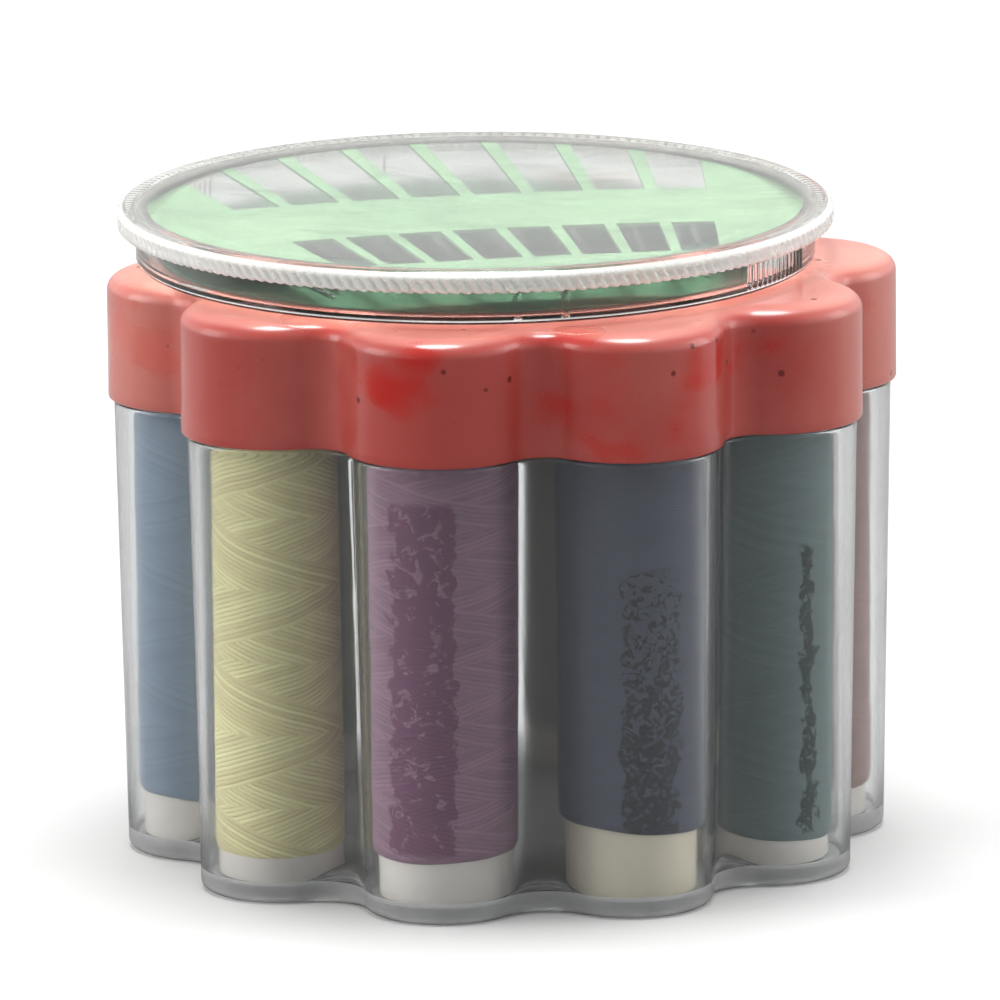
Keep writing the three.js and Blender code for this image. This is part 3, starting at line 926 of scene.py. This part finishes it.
plain_tube = white_tube("tube_white", (0.88, 0.84, 0.79))
cream_tube = white_tube("tube_cream", (0.88, 0.82, 0.66))
LEFT_EDGE = {8: math.radians(186), 9: math.radians(200)}
for k, (name, bare, low, high, dx, dy, colour, lead, pitch, depth) in enumerate(SPOOLS):
    a = LOBE_FIRST + TAU * k / LOBES
    x, y = LOBE_CENTRE_R * math.cos(a) + dx, LOBE_CENTRE_R * math.sin(a) + dy
    tube = spool_tube("tube_" + name, x, y)
    paint(tube, cream_tube if name in ("navy", "taupe") else plain_tube, "spool_" + name, "white_tube", "spool_tube_" + name)
    strays = ()
    if name == "purple":
        strays = ((math.radians(-92), 55.0, 0.30, 1.4, 0.12), (math.radians(-85), 26.5, 0.27, 1.3, 0.12), (math.radians(-100), 44.0, 0.2, 1.0, 0.10))
    contact = None
    if name == "purple":
        contact = (x - 2.3, y - 5.0, 4.2, 8.5, 56.5, 0.95, 0.035, (0.165, 0.045, 0.120))
    if name == "navy":
        contact = (x + 2.4, y - 4.0, 3.7, 8.0, 47.0, 0.80, 0.17, (0.004, 0.005, 0.010))
    if name == "dark_green":
        contact = (x + 5.6, y - 2.0, 0.9, 6.0, 46.0, 0.95, 0.03, (0.014, 0.036, 0.030))
    wound = winding(
        "winding_" + name, x, y, bare, low, high, lead, pitch, depth, 100 + k,
        LEFT_EDGE.get(k, math.radians(200 + 31 * k)), {8: 71.1, 9: 60.0}.get(k, 50.0 + 2.3 * k), strays,
        {"navy": 0.7, "dark_green": 0.8, "purple": -0.2, "yellow": -0.3}.get(name, 0.15),
    )
    paint(wound, thread_yarn("yarn_" + name, colour, contact, {"yellow": 0.62, "purple": 0.5, "light_blue": 0.08}.get(name, 0.18)), "spool_" + name, "thread_" + name, "thread_" + name)

thin_clear = clear_plastic("compact_clear", (0.97, 0.98, 0.97), (0.95, 0.955, 0.94), 0.98, 0.00008, 0.03, 0.07, 0.9)
paint(dish(), thin_clear, "compact_dish", "clear_compact", "compact_base")
hazy_clear = clear_plastic("compact_cover_clear", (0.97, 0.98, 0.96), (0.93, 0.94, 0.92), 0.968, 0.00008, 0.04, 0.09, 0.95)
shell = paint(cover(), hazy_clear, "cover_cap", "clear_compact", "compact_cover")
repaint(
    shell,
    frosted("compact_rim_frosted", (0.94, 0.93, 0.91), 0.36, 0.75),
    lambda p: np.hypot(p[:, 0] - COMPACT[0], p[:, 1] - COMPACT[1]) > 46.8,
)
paint(liner(), felt(), "compact_dish", "liner_felt", "needle_liner")
steel = needle_steel()
for i in range(8):
    for j in range(2):
        n = 2 * i + j + 1
        paint(needle(n, i, j), steel, "compact_dish", "needle_steel", f"needle_{n}")

card = nodes["window_card"]
card.data.materials.clear()
card.data.materials.append(card_stock())

# ---- stage ----
floor = mesh_of("floor", [(-4000, -4000, 0), (4000, -4000, 0), (4000, 4000, 0), (-4000, 4000, 0)], [np.array([[0, 1, 2, 3]])])
m, t = new_material("floor_white")
tone = ramp(t, noise(t, coords(t), 6, 3), 0.3, 0.7)
pale = principled(
    t,
    {
        "Base Color": mixed(t, tone, rgba((0.595, 0.595, 0.595)), rgba((0.605, 0.605, 0.605))),
        "Roughness": 0.9,
        "Specular IOR Level": 0.1,
    },
)
# the light the floor sends back up to the object is held down, as if the object stood on a small white sheet
path = N(t, "LightPath")
dull = N(t, "BsdfDiffuse", {"Color": rgba((0.36, 0.36, 0.36))}).outputs["BSDF"]
dark = N(t, "BsdfDiffuse", {"Color": rgba((0.10, 0.10, 0.10))}).outputs["BSDF"]
bounced = maths(t, "GREATER_THAN", path.outputs["Diffuse Depth"], 0.5)
place = N(t, "SeparateXYZ", {"Vector": coords(t)})
# painted reflection: seen in the object's reflections the floor turns dark, mostly in front
mirrored = maths(t, "GREATER_THAN", path.outputs["Glossy Depth"], 0.5)
mirrored = maths(t, "MULTIPLY", mirrored, ramp(t, place.outputs["Y"], 0.06, -0.06, 0.5, 1.0))  # mostly in front
seen = N(t, "MixShader", {0: bounced, 1: pale, 2: dull}).outputs["Shader"]
output(t, N(t, "MixShader", {0: mirrored, 1: seen, 2: dark}).outputs["Shader"])
floor.data.materials.append(m)

world = bpy.data.worlds.new("studio")
bpy.context.scene.world = world
world.use_nodes = True
t = world.node_tree
t.nodes.clear()
# a soft tent: bright at both sides, more so on the left, and dimmer in front
way = N(t, "SeparateXYZ", {"Vector": N(t, "TexCoord").outputs["Generated"]})
left = maths(t, "POWER", maths(t, "MAXIMUM", maths(t, "MULTIPLY", way.outputs["X"], -1.0), 0.0), 1.5)
right_side = maths(t, "POWER", maths(t, "MAXIMUM", way.outputs["X"], 0.0), 1.5)
back = maths(t, "MAXIMUM", way.outputs["Y"], 0.0)
above = maths(t, "MAXIMUM", way.outputs["Z"], 0.0)
level = maths(t, "ADD", maths(t, "MULTIPLY", left, 1.22), maths(t, "MULTIPLY", right_side, 1.12))
level = maths(t, "ADD", level, maths(t, "MULTIPLY", back, 0.20))
level = maths(t, "ADD", level, maths(t, "MULTIPLY", above, 0.10))
level = maths(t, "ADD", level, 0.22)
tent = N(t, "Background", {"Color": rgba((1, 1, 1)), "Strength": level}).outputs["Background"]
plain = N(t, "Background", {"Color": rgba((1, 1, 1)), "Strength": 1.0}).outputs["Background"]
path = N(t, "LightPath")
sharp = maths(t, "LESS_THAN", path.outputs["Diffuse Depth"], 0.5)
level = maths(t, "ADD", level, maths(t, "MULTIPLY", sharp, ramp(t, way.outputs["Y"], 0.0, 0.5, 0.0, 0.18)))
t.links.new(level, tent.node.inputs["Strength"])
N(t, "OutputWorld", {"Surface": N(t, "MixShader", {0: path.outputs["Is Camera Ray"], 1: tent, 2: plain}).outputs["Shader"]})


def softbox(name, at, to, size, watts, colour=(1, 1, 1)):
    data = bpy.data.lights.new(name, "AREA")
    data.shape = "RECTANGLE"
    data.size, data.size_y = size
    data.energy = watts
    data.color = colour
    ob = bpy.data.objects.new(name, data)
    bpy.context.scene.collection.objects.link(ob)
    ob.location = at
    ob.rotation_mode = "QUATERNION"
    ob.rotation_quaternion = (Vector(to) - Vector(at)).to_track_quat("-Z", "Y")
    ob.visible_camera = False
    return ob


softbox("left", (-1.2, -0.15, 0.45), (0, 0, 0.05), (0.7, 0.8), 5.0, (1.0, 0.98, 0.945))
softbox("right", (1.2, 0.15, 0.45), (0, 0, 0.05), (0.6, 0.8), 3.4, (1.0, 0.98, 0.945))
# a wide, even light straight above: its shadow stays close round the foot
lamp = bpy.data.lights.new("overhead", "SUN")
lamp.energy = 3.4
lamp.angle = math.radians(26)
overhead = bpy.data.objects.new("overhead", lamp)
bpy.context.scene.collection.objects.link(overhead)
overhead.location = (0, 0.1, 1.2)
overhead.rotation_mode = "XYZ"
overhead.rotation_euler = (math.radians(-4), 0, 0)

# ---- camera ----
camera = bpy.data.cameras.new("camera")
camera.sensor_width = 36
camera.lens = 487.47
camera.clip_start, camera.clip_end = 0.05, 50
view = bpy.data.objects.new("camera", camera)
bpy.context.scene.collection.objects.link(view)
bpy.context.scene.camera = view
elevation, roll, distance = math.radians(12.732), math.radians(0.518), 1.800
look = Vector((0, math.cos(elevation), -math.sin(elevation)))
right, upward = Vector((1, 0, 0)), Vector((0, math.sin(elevation), math.cos(elevation)))
image_right = math.cos(roll) * right - math.sin(roll) * upward
image_up = math.sin(roll) * right + math.cos(roll) * upward
place = Vector((0, -distance * math.cos(elevation), 0.0336 + distance * math.sin(elevation)))
place += image_right * -0.000675 + image_up * 0.01167
view.matrix_world = Matrix(
    [
        (image_right.x, image_up.x, -look.x, place.x),
        (image_right.y, image_up.y, -look.y, place.y),
        (image_right.z, image_up.z, -look.z, place.z),
        (0, 0, 0, 1),
    ]
)

bpy.context.scene.view_settings.view_transform = "Standard"
bpy.context.scene.view_settings.look = "None"
